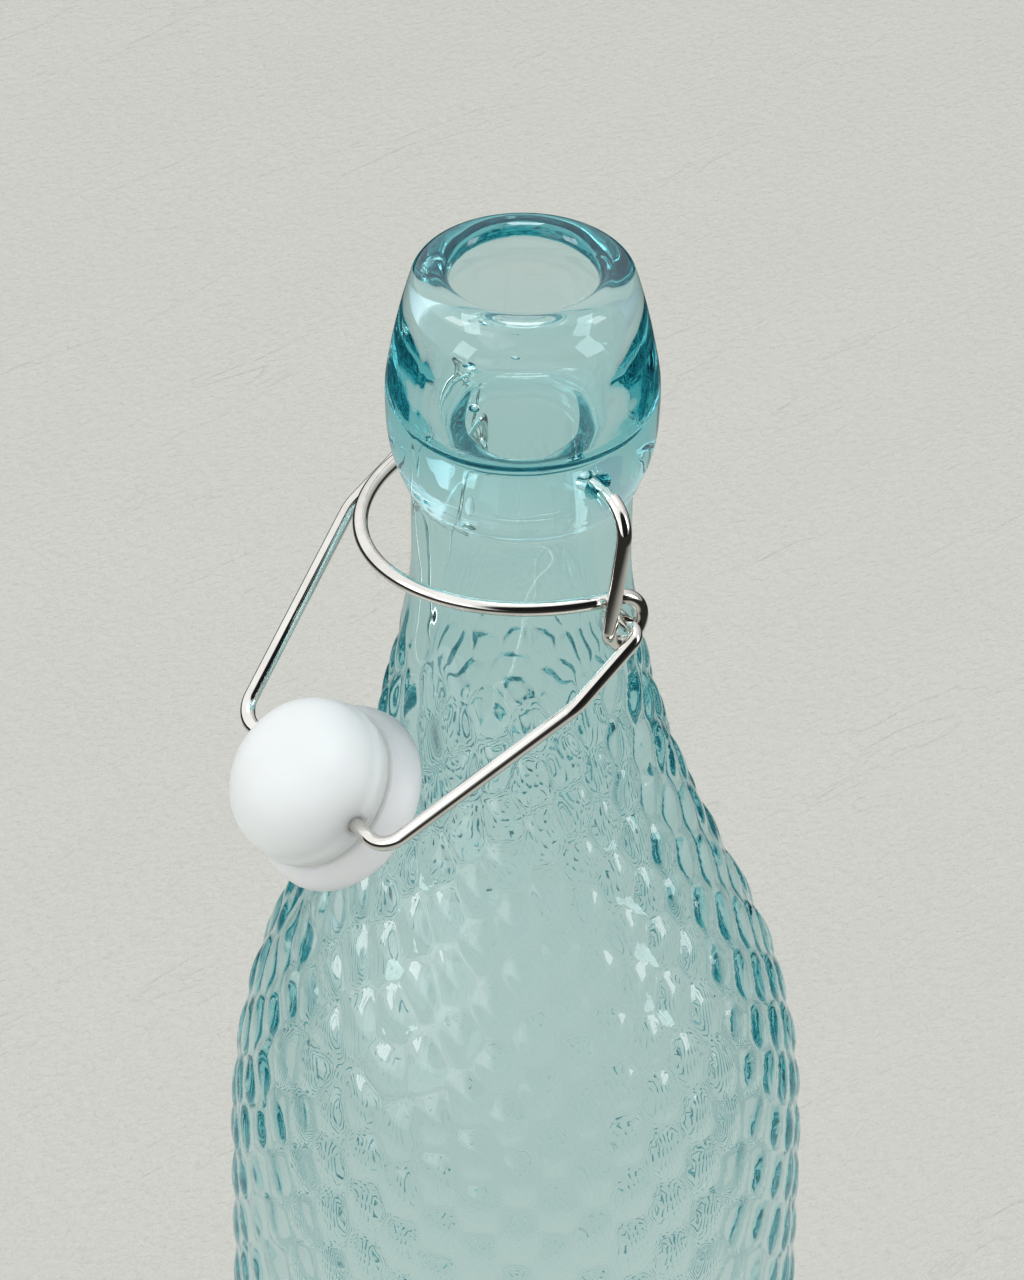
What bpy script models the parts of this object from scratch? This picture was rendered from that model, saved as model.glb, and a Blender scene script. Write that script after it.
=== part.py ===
"""A swing-top glass bottle: bottle, lever wire, bail wire, stopper and seal.

Lengths are in metres. The bottle stands on the XY plane with its axis on +Z.
The wires turn about axes along X, and the stopper hangs open on the -Y side.
Each outline is a list of (radius, height) pairs, and each wire follows a list of points.
"""

import math

import bmesh
import bpy
from mathutils import Matrix, Vector

# Bottle body and base
BOTTLE_HEIGHT = 0.3130
BODY_RADIUS = 0.0430
BODY_WALL = 0.0032
BASE_THICKNESS = 0.0060
FLOOR_CROWN = 0.0030
HEEL_RADIUS = 0.0080
INNER_HEEL_RADIUS = 0.0090

# Shoulder, from the foot of the neck down to the straight body
SHOULDER_HEIGHT = 0.0982
SHOULDER_START_SLOPE = 0.19
SHOULDER_TOP_HANDLE_SHARE = 0.550
SHOULDER_LOW_HANDLE_SHARE = 0.461

# Neck, with depths measured down from the rim
NECK_FOOT_DEPTH = 0.0567
NECK_FOOT_RADIUS = 0.0166
NECK_FOOT_WALL = 0.0050
NECK_WAIST_DEPTH = 0.0400
NECK_WAIST_RADIUS = 0.0156
NECK_HANDLE_SHARE = 0.45

# Finish, the thick barrel at the mouth
FINISH_FOOT_DEPTH = 0.0340
FINISH_FOOT_RADIUS = 0.0165
FINISH_FOOT_SLOPE = 0.47
FINISH_RADIUS = 0.0192
FINISH_BULGE_DEPTH = 0.0188
FINISH_TOP_SLOPE = 0.32
FINISH_TOP_HANDLE_SHARES = (0.36, 0.10)
FINISH_FOOT_HANDLE_SHARES = (0.52, 0.32)
RIM_RADIUS = 0.0158
RIM_ROUNDING = 0.0027
MOUTH_RADIUS = 0.0103
MOUTH_ROUNDING = 0.0013

# Wires and their running fits
WIRE_RADIUS = 0.0011
PIVOT_CLEARANCE = 0.00035
SIDE_CLEARANCE = 0.0004
END_GAP = 0.0003

# Lever wire: pin in the glass, leg, eye and bow
PIVOT_DEPTH = 0.0259
SOCKET_DEPTH = 0.0050
LEG_BEND_RADIUS = 0.0048
EYE_STANDOFF = 0.0058
EYE_BACK = 0.0005
EYE_DROP = 0.0190
EYE_WIRE_GAP = 0.0005
EYE_CLEARANCE = 0.0010
BOW_FINGER_GAP = 0.0054
BOW_SWELL = 0.00035

# Bail wire: hook and pin in the eye, arm with a kink, corner and the stretch through the stopper
HOOK_LENGTH = 0.0036
HOOK_BEND_RADIUS = 0.0016
ARM_BEND_RADIUS = 0.0019
ARM_KINK_SPREAD = 0.0004
ARM_KINK_FORWARD = 0.0107
ARM_KINK_DROP = 0.0080
KINK_BEND_RADIUS = 0.0075
CORNER_STANDOFF = 0.0052
CORNER_BEND_RADIUS = 0.0045
HANG_DROP = 0.0292
LEAN_CLEARANCE = 0.00035

# Stopper and seal, with heights measured from the cross hole towards the dome
STOPPER_TILT_DEGREES = 45
DOME_RADIUS = 0.0124
DOME_HEIGHT = 0.0091
DOME_BASE_HEIGHT = 0.0009
HEAD_FOOT_DEPTH = 0.0026
HEAD_EDGE_ROUNDING = 0.0005
HOLE_RECESS_RADIUS = 0.0030
HOLE_RECESS_DEPTH = 0.0006
STEM_RADIUS = 0.0060
BUTTON_LIP = 0.0012
BUTTON_HEIGHT = 0.0022
BUTTON_ROUNDING = 0.0010
SEAL_RADIUS = 0.0138
SEAL_FLARE = 0.0010
SEAL_THICKNESS = 0.0056
SEAL_BEAD_HEIGHT = 0.0030
SEAL_ROUNDING = 0.0014
SEAL_GAP = 0.0003

# Mesh fineness and cutting
BOTTLE_SIDES = 48
STOPPER_SIDES = 40
CUTTER_SIDES = 24
WIRE_RESOLUTION = 2
ARC_STEP_DEGREES = 15
EYE_STEPS = 22
BOW_STEPS = 16
SHOULDER_STEPS = 14
FINISH_STEPS = 6
FLOOR_STEPS = 4
FEWEST_ARC_STEPS = 2
CUT_OVERRUN = 0.0020
MERGE_DISTANCE = 0.000001
SMOOTH_DEGREES = 35

# Colours, as linear red, green and blue, and how rough each surface is
GLASS_COLOUR = (0.60, 0.82, 0.82)
STEEL_COLOUR = (0.62, 0.61, 0.59)
STOPPER_COLOUR = (0.86, 0.88, 0.88)
SEAL_COLOUR = (0.78, 0.82, 0.79)
GLASS_ROUGHNESS = 0.03
STEEL_ROUGHNESS = 0.25
STOPPER_ROUGHNESS = 0.50
SEAL_ROUGHNESS = 0.35

# Places worked out from the sizes above
PIVOT = Vector((0, 0, BOTTLE_HEIGHT - PIVOT_DEPTH))
EYE = PIVOT + Vector((0, EYE_BACK, -EYE_DROP))
EYE_OFFSET = FINISH_RADIUS + EYE_STANDOFF
EYE_RADIUS = 2 * WIRE_RADIUS + EYE_CLEARANCE
EYE_SPREAD = 2 * WIRE_RADIUS + EYE_WIRE_GAP
BOW_REACH = EYE_BACK + NECK_FOOT_RADIUS + BOW_FINGER_GAP + WIRE_RADIUS
BOW_HALF_WIDTH = EYE_OFFSET - EYE_SPREAD / 2 + BOW_SWELL
CORNER_OFFSET = SEAL_RADIUS + CORNER_STANDOFF
BUTTON_RADIUS = STEM_RADIUS + BUTTON_LIP
SEAL_NECK_RADIUS = SEAL_RADIUS - SEAL_FLARE
STOPPER_TILT = math.radians(STOPPER_TILT_DEGREES)
SEAL_TOP = -HEAD_FOOT_DEPTH - SEAL_GAP
SEAL_FACE = SEAL_TOP - SEAL_THICKNESS
BUTTON_TOP = SEAL_FACE - SEAL_GAP


def clear_scene():
    """Removes every object, so that the script starts from nothing."""
    for item in list(bpy.data.objects):
        bpy.data.objects.remove(item, do_unlink=True)


def material(name, colour, roughness, metallic=0.0, transmission=0.0):
    """A Principled material."""
    made = bpy.data.materials.new(name)
    made.use_nodes = True
    shader = made.node_tree.nodes["Principled BSDF"]
    shader.inputs["Base Color"].default_value = (*colour, 1)
    shader.inputs["Roughness"].default_value = roughness
    shader.inputs["Metallic"].default_value = metallic
    shader.inputs["Transmission Weight"].default_value = transmission
    return made


def bezier(start, first, second, end, steps):
    """Points of a cubic curve after its start, each a (radius, height) pair."""
    ends = [Vector(point) for point in (start, first, second, end)]
    points = []
    for step in range(1, steps + 1):
        t = step / steps
        s = 1 - t
        point = s**3 * ends[0] + 3 * s * s * t * ends[1] + 3 * s * t * t * ends[2] + t**3 * ends[3]
        points.append((point.x, point.y))
    return points


def arc(centre, radius, start_degrees, end_degrees):
    """Points round an arc, both ends included, at the mesh's arc step."""
    turn = end_degrees - start_degrees
    steps = max(FEWEST_ARC_STEPS, round(abs(turn) / ARC_STEP_DEGREES))
    points = []
    for step in range(steps + 1):
        angle = math.radians(start_degrees + turn * step / steps)
        points.append((centre[0] + radius * math.cos(angle), centre[1] + radius * math.sin(angle)))
    return points


def outer_outline():
    """The bottle's outside, from the middle of the base up to the flat of the rim."""
    heel = arc((BODY_RADIUS - HEEL_RADIUS, HEEL_RADIUS), HEEL_RADIUS, -90, 0)
    neck_foot = (NECK_FOOT_RADIUS, BOTTLE_HEIGHT - NECK_FOOT_DEPTH)
    neck_waist = (NECK_WAIST_RADIUS, BOTTLE_HEIGHT - NECK_WAIST_DEPTH)
    finish_foot = (FINISH_FOOT_RADIUS, BOTTLE_HEIGHT - FINISH_FOOT_DEPTH)
    bulge = (FINISH_RADIUS, BOTTLE_HEIGHT - FINISH_BULGE_DEPTH)
    rim_centre = (RIM_RADIUS - RIM_ROUNDING, BOTTLE_HEIGHT - RIM_ROUNDING)
    rim = arc(rim_centre, RIM_ROUNDING, math.degrees(math.atan(FINISH_TOP_SLOPE)), 90)
    finish_top = rim[0]
    shoulder_foot = (BODY_RADIUS, neck_foot[1] - SHOULDER_HEIGHT)

    shoulder = bezier(
        shoulder_foot,
        (BODY_RADIUS, shoulder_foot[1] + SHOULDER_HEIGHT * SHOULDER_LOW_HANDLE_SHARE),
        shoulder_top_handle(NECK_FOOT_RADIUS),
        neck_foot,
        SHOULDER_STEPS,
    )
    neck_span = neck_waist[1] - neck_foot[1]
    neck_handle = neck_span * NECK_HANDLE_SHARE
    neck = bezier(
        neck_foot,
        (NECK_FOOT_RADIUS - neck_handle * SHOULDER_START_SLOPE, neck_foot[1] + neck_handle),
        (NECK_WAIST_RADIUS, neck_waist[1] - neck_handle),
        neck_waist,
        FINISH_STEPS // 2,
    )
    crease_span = finish_foot[1] - neck_waist[1]
    crease = bezier(
        neck_waist,
        (NECK_WAIST_RADIUS, neck_waist[1] + crease_span * NECK_HANDLE_SHARE),
        (NECK_WAIST_RADIUS, finish_foot[1]),
        finish_foot,
        FINISH_STEPS // 2,
    )
    low_span = bulge[1] - finish_foot[1]
    low = bezier(
        finish_foot,
        slope_handle(finish_foot, low_span * FINISH_FOOT_HANDLE_SHARES[1], FINISH_FOOT_SLOPE),
        (FINISH_RADIUS, bulge[1] - low_span * FINISH_FOOT_HANDLE_SHARES[0]),
        bulge,
        FINISH_STEPS,
    )
    high_span = finish_top[1] - bulge[1]
    high = bezier(
        bulge,
        (FINISH_RADIUS, bulge[1] + high_span * FINISH_TOP_HANDLE_SHARES[1]),
        slope_handle(finish_top, -high_span * FINISH_TOP_HANDLE_SHARES[0], -FINISH_TOP_SLOPE),
        finish_top,
        FINISH_STEPS,
    )
    return [(0, 0), *heel, shoulder_foot, *shoulder, *neck, *crease, *low, *high, *rim[1:]]


def shoulder_top_handle(radius):
    """The handle below the neck's foot, for the shoulder's outside or inside."""
    length = SHOULDER_HEIGHT * SHOULDER_TOP_HANDLE_SHARE
    foot = BOTTLE_HEIGHT - NECK_FOOT_DEPTH
    return (radius + length * SHOULDER_START_SLOPE, foot - length)


def slope_handle(point, rise, slope):
    """The handle a rise above a point, on a line that widens by the slope."""
    return (point[0] + rise * slope, point[1] + rise)


def inner_outline():
    """The bottle's inside, from the mouth's rounded edge down to the middle of the floor."""
    inner_radius = BODY_RADIUS - BODY_WALL
    foot_height = BOTTLE_HEIGHT - NECK_FOOT_DEPTH
    foot_radius = NECK_FOOT_RADIUS - NECK_FOOT_WALL
    shoulder_foot = (inner_radius, foot_height - SHOULDER_HEIGHT)
    mouth = arc(
        (MOUTH_RADIUS + MOUTH_ROUNDING, BOTTLE_HEIGHT - MOUTH_ROUNDING), MOUTH_ROUNDING, 90, 180
    )
    bore_end = (MOUTH_RADIUS, BOTTLE_HEIGHT - FINISH_FOOT_DEPTH)
    neck_handle = (bore_end[1] - foot_height) * NECK_HANDLE_SHARE
    neck = bezier(
        bore_end,
        (MOUTH_RADIUS, bore_end[1] - neck_handle),
        (foot_radius - neck_handle * SHOULDER_START_SLOPE, foot_height + neck_handle),
        (foot_radius, foot_height),
        FINISH_STEPS // 2,
    )
    shoulder = bezier(
        (foot_radius, foot_height),
        shoulder_top_handle(foot_radius),
        (inner_radius, shoulder_foot[1] + SHOULDER_HEIGHT * SHOULDER_LOW_HANDLE_SHARE),
        shoulder_foot,
        SHOULDER_STEPS,
    )
    heel = arc(
        (inner_radius - INNER_HEEL_RADIUS, BASE_THICKNESS + INNER_HEEL_RADIUS),
        INNER_HEEL_RADIUS,
        0,
        -90,
    )
    middle = (0, BASE_THICKNESS + FLOOR_CROWN)
    floor = bezier(heel[-1], (heel[-1][0] / 2, heel[-1][1]), (heel[-1][0] / 2, middle[1]), middle, FLOOR_STEPS)
    return [*mouth, bore_end, *neck, *shoulder, *heel, *floor]


def outer_radius(height):
    """The radius of the bottle's outside at a height."""
    outline = outer_outline()
    for low, high in zip(outline, outline[1:]):
        if low[1] <= height <= high[1] and high[1] > low[1]:
            return low[0] + (high[0] - low[0]) * (height - low[1]) / (high[1] - low[1])
    return 0.0


def hang_place():
    """Where the stopper's cross hole hangs, so that the seal's edge rests against the shoulder."""
    height = EYE.z - HANG_DROP
    forward = 0.0
    for radius, level in seal_outline():
        towards_bottle = radius * math.cos(STOPPER_TILT) - level * math.sin(STOPPER_TILT)
        up = radius * math.sin(STOPPER_TILT) + level * math.cos(STOPPER_TILT)
        forward = max(forward, outer_radius(height + up) + towards_bottle)
    return Vector((0, -forward - LEAN_CLEARANCE, height))


def turned(name, outline, sides, finish):
    """A solid of revolution about Z, from an outline that runs from axis to axis or closes on itself."""
    mesh = bpy.data.meshes.new(name)
    form = bmesh.new()
    corners = [form.verts.new((radius, 0, height)) for radius, height in outline]
    edges = [form.edges.new(pair) for pair in zip(corners, corners[1:])]
    if outline[0][0] > 0:
        edges.append(form.edges.new((corners[-1], corners[0])))
    bmesh.ops.spin(
        form,
        geom=corners + edges,
        cent=(0, 0, 0),
        axis=(0, 0, 1),
        angle=math.tau,
        steps=sides,
        use_duplicate=False,
    )
    bmesh.ops.remove_doubles(form, verts=form.verts[:], dist=MERGE_DISTANCE)
    bmesh.ops.recalc_face_normals(form, faces=form.faces[:])
    form.to_mesh(mesh)
    form.free()
    mesh.shade_smooth()
    mesh.set_sharp_from_angle(angle=math.radians(SMOOTH_DEGREES))
    mesh.materials.append(finish)
    made = bpy.data.objects.new(name, mesh)
    bpy.context.scene.collection.objects.link(made)
    return made


def cross_cutter(name, radius, start, end, parent):
    """A hidden cylinder along the parent's X, from start to end, that cuts the parent."""
    form = bmesh.new()
    bmesh.ops.create_cone(
        form,
        cap_ends=True,
        segments=CUTTER_SIDES,
        radius1=radius,
        radius2=radius,
        depth=end.x - start.x,
        matrix=Matrix.Translation((start + end) / 2) @ Matrix.Rotation(math.pi / 2, 4, "Y"),
    )
    mesh = bpy.data.meshes.new(name)
    form.to_mesh(mesh)
    form.free()
    cutter = bpy.data.objects.new(name, mesh)
    bpy.context.scene.collection.objects.link(cutter)
    cutter.parent = parent
    cutter.display_type = "WIRE"
    cutter.hide_render = True
    cut = parent.modifiers.new(name, "BOOLEAN")
    cut.operation = "DIFFERENCE"
    cut.solver = "EXACT"
    cut.object = cutter


def wire(name, points, origin, finish):
    """A round wire along world points, as a bevelled curve with its origin on the joint axis."""
    curve = bpy.data.curves.new(name, "CURVE")
    curve.dimensions = "3D"
    curve.bevel_depth = WIRE_RADIUS
    curve.bevel_resolution = WIRE_RESOLUTION
    curve.use_fill_caps = True
    spline = curve.splines.new("POLY")
    spline.points.add(len(points) - 1)
    for place, point in zip(spline.points, points):
        place.co = (*(point - origin), 1)
    spline.use_smooth = True
    curve.materials.append(finish)
    made = bpy.data.objects.new(name, curve)
    bpy.context.scene.collection.objects.link(made)
    return made


def rounded(corners, radii):
    """Points along straight runs, with each inner corner turned into an arc of its radius."""
    points = [corners[0]]
    for before, corner, after, radius in zip(corners, corners[1:], corners[2:], radii):
        back = (before - corner).normalized()
        on = (after - corner).normalized()
        half = back.angle(on) / 2
        reach = radius / math.tan(half)
        centre = corner + (back + on).normalized() * (radius / math.sin(half))
        start = corner + back * reach - centre
        turn = math.pi - 2 * half
        steps = max(FEWEST_ARC_STEPS, math.ceil(math.degrees(turn) / ARC_STEP_DEGREES))
        axis = back.cross(on)
        for step in range(steps + 1):
            points.append(centre + Matrix.Rotation(-turn * step / steps, 3, axis) @ start)
    points.append(corners[-1])
    return points


def both_halves(points):
    """The whole wire from its +X half, whose last point is in the middle."""
    return points + [Vector((-point.x, point.y, point.z)) for point in reversed(points[:-1])]


def lever_half():
    """The lever wire's +X half, from the pin in the glass to just short of the bow's middle."""
    leg_x = EYE_OFFSET + EYE_SPREAD / 2
    drop = EYE - PIVOT
    lean = math.atan2(drop.y, -drop.z) - math.asin(EYE_RADIUS / drop.length)
    leg_length = math.sqrt(drop.length**2 - EYE_RADIUS**2)
    touch = PIVOT + leg_length * Vector((0, math.sin(lean), -math.cos(lean)))
    pin_end = outer_radius(PIVOT.z) - SOCKET_DEPTH + END_GAP
    corners = [
        PIVOT + Vector((pin_end, 0, 0)),
        PIVOT + Vector((leg_x, 0, 0)),
        touch + Vector((leg_x, 0, 0)),
    ]
    points = rounded(corners, [LEG_BEND_RADIUS])

    first = math.atan2(touch.z - EYE.z, touch.y - EYE.y)
    last = math.pi / 2 + math.tau
    for step in range(1, EYE_STEPS + 1):
        share = step / EYE_STEPS
        angle = first + (last - first) * share
        x = leg_x - EYE_SPREAD * share
        ring = Vector((x, EYE_RADIUS * math.cos(angle), EYE_RADIUS * math.sin(angle)))
        points.append(EYE + ring)

    exit_point = points[-1]
    start = math.acos(exit_point.x / BOW_HALF_WIDTH)
    depth = BOW_REACH / (1 - math.sin(start))
    for step in range(1, BOW_STEPS + 1):
        angle = start + (math.pi / 2 - start) * step / BOW_STEPS
        along = depth * (math.sin(angle) - math.sin(start))
        x = BOW_HALF_WIDTH * math.cos(angle)
        points.append(Vector((x, exit_point.y - along, exit_point.z)))
    return points


def bail_half():
    """The bail's +X half, from its hook inside the eye to where it goes through the stopper."""
    hang = hang_place()
    hook_x = EYE_OFFSET - EYE_SPREAD / 2 - 2 * WIRE_RADIUS - SIDE_CLEARANCE
    arm_x = EYE_OFFSET + EYE_SPREAD / 2 + 2 * WIRE_RADIUS + SIDE_CLEARANCE
    kink = EYE + Vector((arm_x + ARM_KINK_SPREAD, -ARM_KINK_FORWARD, -ARM_KINK_DROP))
    corners = [
        EYE + Vector((hook_x, 0, -HOOK_LENGTH)),
        EYE + Vector((hook_x, 0, 0)),
        EYE + Vector((arm_x, 0, 0)),
        kink,
        hang + Vector((CORNER_OFFSET, 0, 0)),
        hang,
    ]
    radii = [HOOK_BEND_RADIUS, ARM_BEND_RADIUS, KINK_BEND_RADIUS, CORNER_BEND_RADIUS]
    return rounded(corners, radii)


def make_bottle(finish):
    """The glass, with a blind socket for a lever pin on each side of the finish."""
    outline = outer_outline() + inner_outline()
    bottle = turned("bottle", outline, BOTTLE_SIDES, finish)
    surface = outer_radius(PIVOT.z)
    radius = WIRE_RADIUS + PIVOT_CLEARANCE
    for side, label in ((1, "right"), (-1, "left")):
        ends = sorted([side * (surface - SOCKET_DEPTH), side * (surface + CUT_OVERRUN)])
        start, end = (PIVOT + Vector((x, 0, 0)) for x in ends)
        cross_cutter(f"{label}_socket_cutter", radius, start, end, bottle)
    return bottle


def make_stopper(finish):
    """The domed stopper, its axis on Z through the cross hole, with a stem and button for the seal."""
    dome = [
        (radius, DOME_BASE_HEIGHT + height * DOME_HEIGHT / DOME_RADIUS)
        for radius, height in arc((0, 0), DOME_RADIUS, 0, 90)
    ]
    edge = arc(
        (DOME_RADIUS - HEAD_EDGE_ROUNDING, -HEAD_FOOT_DEPTH + HEAD_EDGE_ROUNDING),
        HEAD_EDGE_ROUNDING,
        -90,
        0,
    )
    button_foot = BUTTON_TOP - BUTTON_HEIGHT
    button = arc(
        (BUTTON_RADIUS - BUTTON_ROUNDING, button_foot + BUTTON_ROUNDING), BUTTON_ROUNDING, -90, 0
    )
    outline = [
        (0, button_foot),
        *button,
        (BUTTON_RADIUS, BUTTON_TOP),
        (STEM_RADIUS, BUTTON_TOP),
        (STEM_RADIUS, -HEAD_FOOT_DEPTH),
        *edge,
        *dome[:-1],
        (0, DOME_BASE_HEIGHT + DOME_HEIGHT),
    ]
    stopper = turned("stopper", outline, STOPPER_SIDES, finish)
    reach = DOME_RADIUS + CUT_OVERRUN
    hole = Vector((reach, 0, 0))
    cross_cutter("cross_hole_cutter", WIRE_RADIUS + PIVOT_CLEARANCE, -hole, hole, stopper)
    floor = DOME_RADIUS - HOLE_RECESS_DEPTH
    for side, label in ((1, "right"), (-1, "left")):
        start, end = (Vector((x, 0, 0)) for x in sorted([side * floor, side * reach]))
        cross_cutter(f"{label}_recess_cutter", HOLE_RECESS_RADIUS, start, end, stopper)
    return stopper


def seal_outline():
    """The section of the seal's ring, in the stopper's own frame."""
    inner_radius = STEM_RADIUS + SEAL_GAP
    face_edge = arc(
        (SEAL_RADIUS - SEAL_ROUNDING, SEAL_FACE + SEAL_ROUNDING), SEAL_ROUNDING, -90, 0
    )
    return [
        (inner_radius, SEAL_FACE),
        *face_edge,
        (SEAL_RADIUS, SEAL_FACE + SEAL_BEAD_HEIGHT),
        (SEAL_NECK_RADIUS, SEAL_TOP),
        (inner_radius, SEAL_TOP),
    ]


def carry(piece, parent, place, parent_place):
    """Parents a moving piece, with its origin on its joint axis."""
    piece.parent = parent
    piece.location = place - parent_place


def main():
    """Builds the pieces from the glass outwards, each carried by the one before."""
    clear_scene()
    glass = material("glass", GLASS_COLOUR, GLASS_ROUGHNESS, transmission=1.0)
    steel = material("steel", STEEL_COLOUR, STEEL_ROUGHNESS, metallic=1.0)
    plastic = material("stopper_plastic", STOPPER_COLOUR, STOPPER_ROUGHNESS)
    silicone = material("silicone", SEAL_COLOUR, SEAL_ROUGHNESS)

    bottle = make_bottle(glass)
    lever = wire("lever_wire", both_halves(lever_half()), PIVOT, steel)
    bail = wire("bail_wire", both_halves(bail_half()), EYE, steel)
    stopper = make_stopper(plastic)
    seal = turned("seal", seal_outline(), STOPPER_SIDES, silicone)
    carry(lever, bottle, PIVOT, Vector())
    carry(bail, lever, EYE, PIVOT)
    carry(stopper, bail, hang_place(), EYE)
    stopper.rotation_euler.x = STOPPER_TILT
    seal.parent = stopper


main()
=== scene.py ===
"""The looks of a swing-top glass bottle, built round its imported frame.

Lengths are in metres, in the frame's own place: the bottle stands on the XY plane with its axis
on +Z, the wires turn about axes along X, and the open stopper hangs on the -Y side.
"""

import logging
import math
from dataclasses import dataclass, field
from enum import Enum

import bpy
import numpy as np
from mathutils import Matrix, Vector, kdtree, noise


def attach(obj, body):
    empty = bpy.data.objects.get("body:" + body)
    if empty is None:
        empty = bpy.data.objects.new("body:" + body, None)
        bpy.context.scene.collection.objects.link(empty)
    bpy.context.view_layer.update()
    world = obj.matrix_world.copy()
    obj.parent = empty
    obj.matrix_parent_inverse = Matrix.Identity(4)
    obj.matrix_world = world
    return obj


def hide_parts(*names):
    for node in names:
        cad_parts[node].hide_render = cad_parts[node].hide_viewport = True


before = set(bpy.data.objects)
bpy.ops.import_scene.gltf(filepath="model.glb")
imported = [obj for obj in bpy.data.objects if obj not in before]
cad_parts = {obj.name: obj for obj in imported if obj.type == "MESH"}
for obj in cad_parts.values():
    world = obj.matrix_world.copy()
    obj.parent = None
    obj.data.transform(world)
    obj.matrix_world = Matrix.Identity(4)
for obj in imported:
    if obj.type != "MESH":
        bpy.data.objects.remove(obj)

log = logging.getLogger("swing_top_bottle")
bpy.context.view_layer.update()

Point = tuple[float, float]
Profile = list[Point]
Colour = tuple[float, float, float]
Piece = bpy.types.Object
Material = bpy.types.Material
Node = bpy.types.Node
Tree = bpy.types.NodeTree

MERGE_DISTANCE = 1e-6
HOLE_SIDES = 48
WIRE_RESOLUTION = 7
WIRE_END_ROUNDING = 0.0003
WIRE_END_SEGMENTS = 3
QUAD_CORNERS = 4
BEND_STEP_DEGREES = 4.0
PIN_END_GAP = 0.0003
HANG_POINT = Vector((0, -0.035214, 0.2389))
SEAM_ANGLES = (math.radians(-84), math.radians(96))

# Each seed bubble's turn in degrees, height, depth in the wall, radius and stretch along Z
BUBBLES = (
    (-58.0, 0.2990, 0.0045, 0.00075, 0.8),
    (40.0, 0.2860, 0.0050, 0.00035, 1.4),
    (150.0, 0.2930, 0.0040, 0.00045, 1.2),
    (-140.0, 0.2885, 0.0055, 0.00030, 1.5),
)

GROUP_VALUES = ("Patch Scale", "Grain Scale", "Detail", "Grain Share")

# A Mix node has sockets of one name for each kind of data, so they go by number
MIX_SHARE = 0
MIX_NUMBERS = (2, 3)
MIX_LOW = 6
MIX_HIGH = 7
MIX_NUMBER = 0
MIX_COLOUR = 2


class Side(Enum):
    """A side of the bottle, as the sign of X there."""

    RIGHT = 1
    LEFT = -1


# Plain geometry


def bezier(start: Point, leave: Point, arrive: Point, end: Point, steps: int) -> Profile:
    """Points of a cubic curve after its start.

    Args:
        start: The curve's first point, as a radius and a height.
        leave: The step from the start to its handle.
        arrive: The step from the end to its handle.
        end: The curve's last point.
        steps: How many points to give.

    Returns:
        The points, each a radius and a height.
    """
    t = np.linspace(0, 1, steps + 1)[1:, None]
    s = 1 - t
    first, last = np.array(start), np.array(end)
    handles = 3 * s * s * t * (first + leave) + 3 * s * t * t * (last + arrive)
    return [tuple(point) for point in s**3 * first + handles + t**3 * last]


def arc(centre: Point, radius: float, start: float, end: float, steps: int) -> Profile:
    """Points round an arc, both ends included.

    Args:
        centre: The arc's centre, as a radius and a height.
        radius: The arc's own radius.
        start: The first angle in degrees, from the outward direction.
        end: The last angle in degrees.
        steps: How many steps the arc takes.

    Returns:
        The points, each a radius and a height.
    """
    angles = np.radians(np.linspace(start, end, steps + 1))
    return [(centre[0] + radius * math.cos(a), centre[1] + radius * math.sin(a)) for a in angles]


def distances(line: np.ndarray) -> np.ndarray:
    """How far along a line each of its points is."""
    return np.concatenate([[0], np.cumsum(np.linalg.norm(np.diff(line, axis=0), axis=1))])


def on_line(line: np.ndarray, run: np.ndarray, places: np.ndarray | float) -> list:
    """The radius and the height at places along a line, whose points are at the distances in run."""
    return [np.interp(places, run, column) for column in line.T]


def resampled(points: Profile, spacing: float) -> Profile:
    """The same line with points at an even spacing.

    Args:
        points: The line to follow.
        spacing: The wanted distance between points.

    Returns:
        The new points, both ends kept.
    """
    line = np.array(points, float)
    run = distances(line)
    places = np.linspace(0, run[-1], max(2, round(run[-1] / spacing)) + 1)
    return [tuple(point) for point in np.stack(on_line(line, run, places), 1)]


def rounded(corners: list[Vector], radii: list[float]) -> list[Vector]:
    """A bent wire's centre line, with each inner corner turned into an arc.

    Args:
        corners: The straight runs' ends.
        radii: The bend radius at each inner corner.

    Returns:
        The points along the line.
    """
    points = [corners[0]]
    for before, corner, after, radius in zip(corners, corners[1:], corners[2:], radii):
        back = (before - corner).normalized()
        on = (after - corner).normalized()
        half = back.angle(on) / 2
        centre = corner + (back + on).normalized() * (radius / math.sin(half))
        start = corner + back * (radius / math.tan(half)) - centre
        turn = math.pi - 2 * half
        steps = max(2, math.ceil(math.degrees(turn) / BEND_STEP_DEGREES))
        axis = back.cross(on)
        for step in range(steps + 1):
            points.append(centre + Matrix.Rotation(-turn * step / steps, 3, axis) @ start)
    points.append(corners[-1])
    return points


def both_halves(points: list[Vector]) -> list[Vector]:
    """The whole wire from its +X half, whose last point is in the middle."""
    return points + [Vector((-p.x, p.y, p.z)) for p in reversed(points[:-1])]


def around(turn: float, rise: float) -> Vector:
    """The direction at a turn and a rise.

    Args:
        turn: The turn from -Y towards +X, in degrees.
        rise: The rise above the floor, in degrees.

    Returns:
        The direction, one metre long.
    """
    angle = math.radians(turn)
    lift = math.radians(rise)
    return Vector((math.sin(angle) * math.cos(lift), -math.cos(angle) * math.cos(lift), math.sin(lift)))


def search_tree(points: np.ndarray) -> kdtree.KDTree:
    """A tree for finding the points nearest a place.

    Args:
        points: The points, one to a row.

    Returns:
        The tree, which gives a point's row.
    """
    tree = kdtree.KDTree(len(points))
    for index, point in enumerate(points):
        tree.insert(point, index)
    tree.balance()
    return tree


# Modelling, as by hand


def activate(piece: Piece) -> None:
    """Selects one object alone and makes it the active one.

    Args:
        piece: The object.
    """
    bpy.ops.object.select_all(action="DESELECT")
    piece.select_set(True)
    bpy.context.view_layer.objects.active = piece


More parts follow.
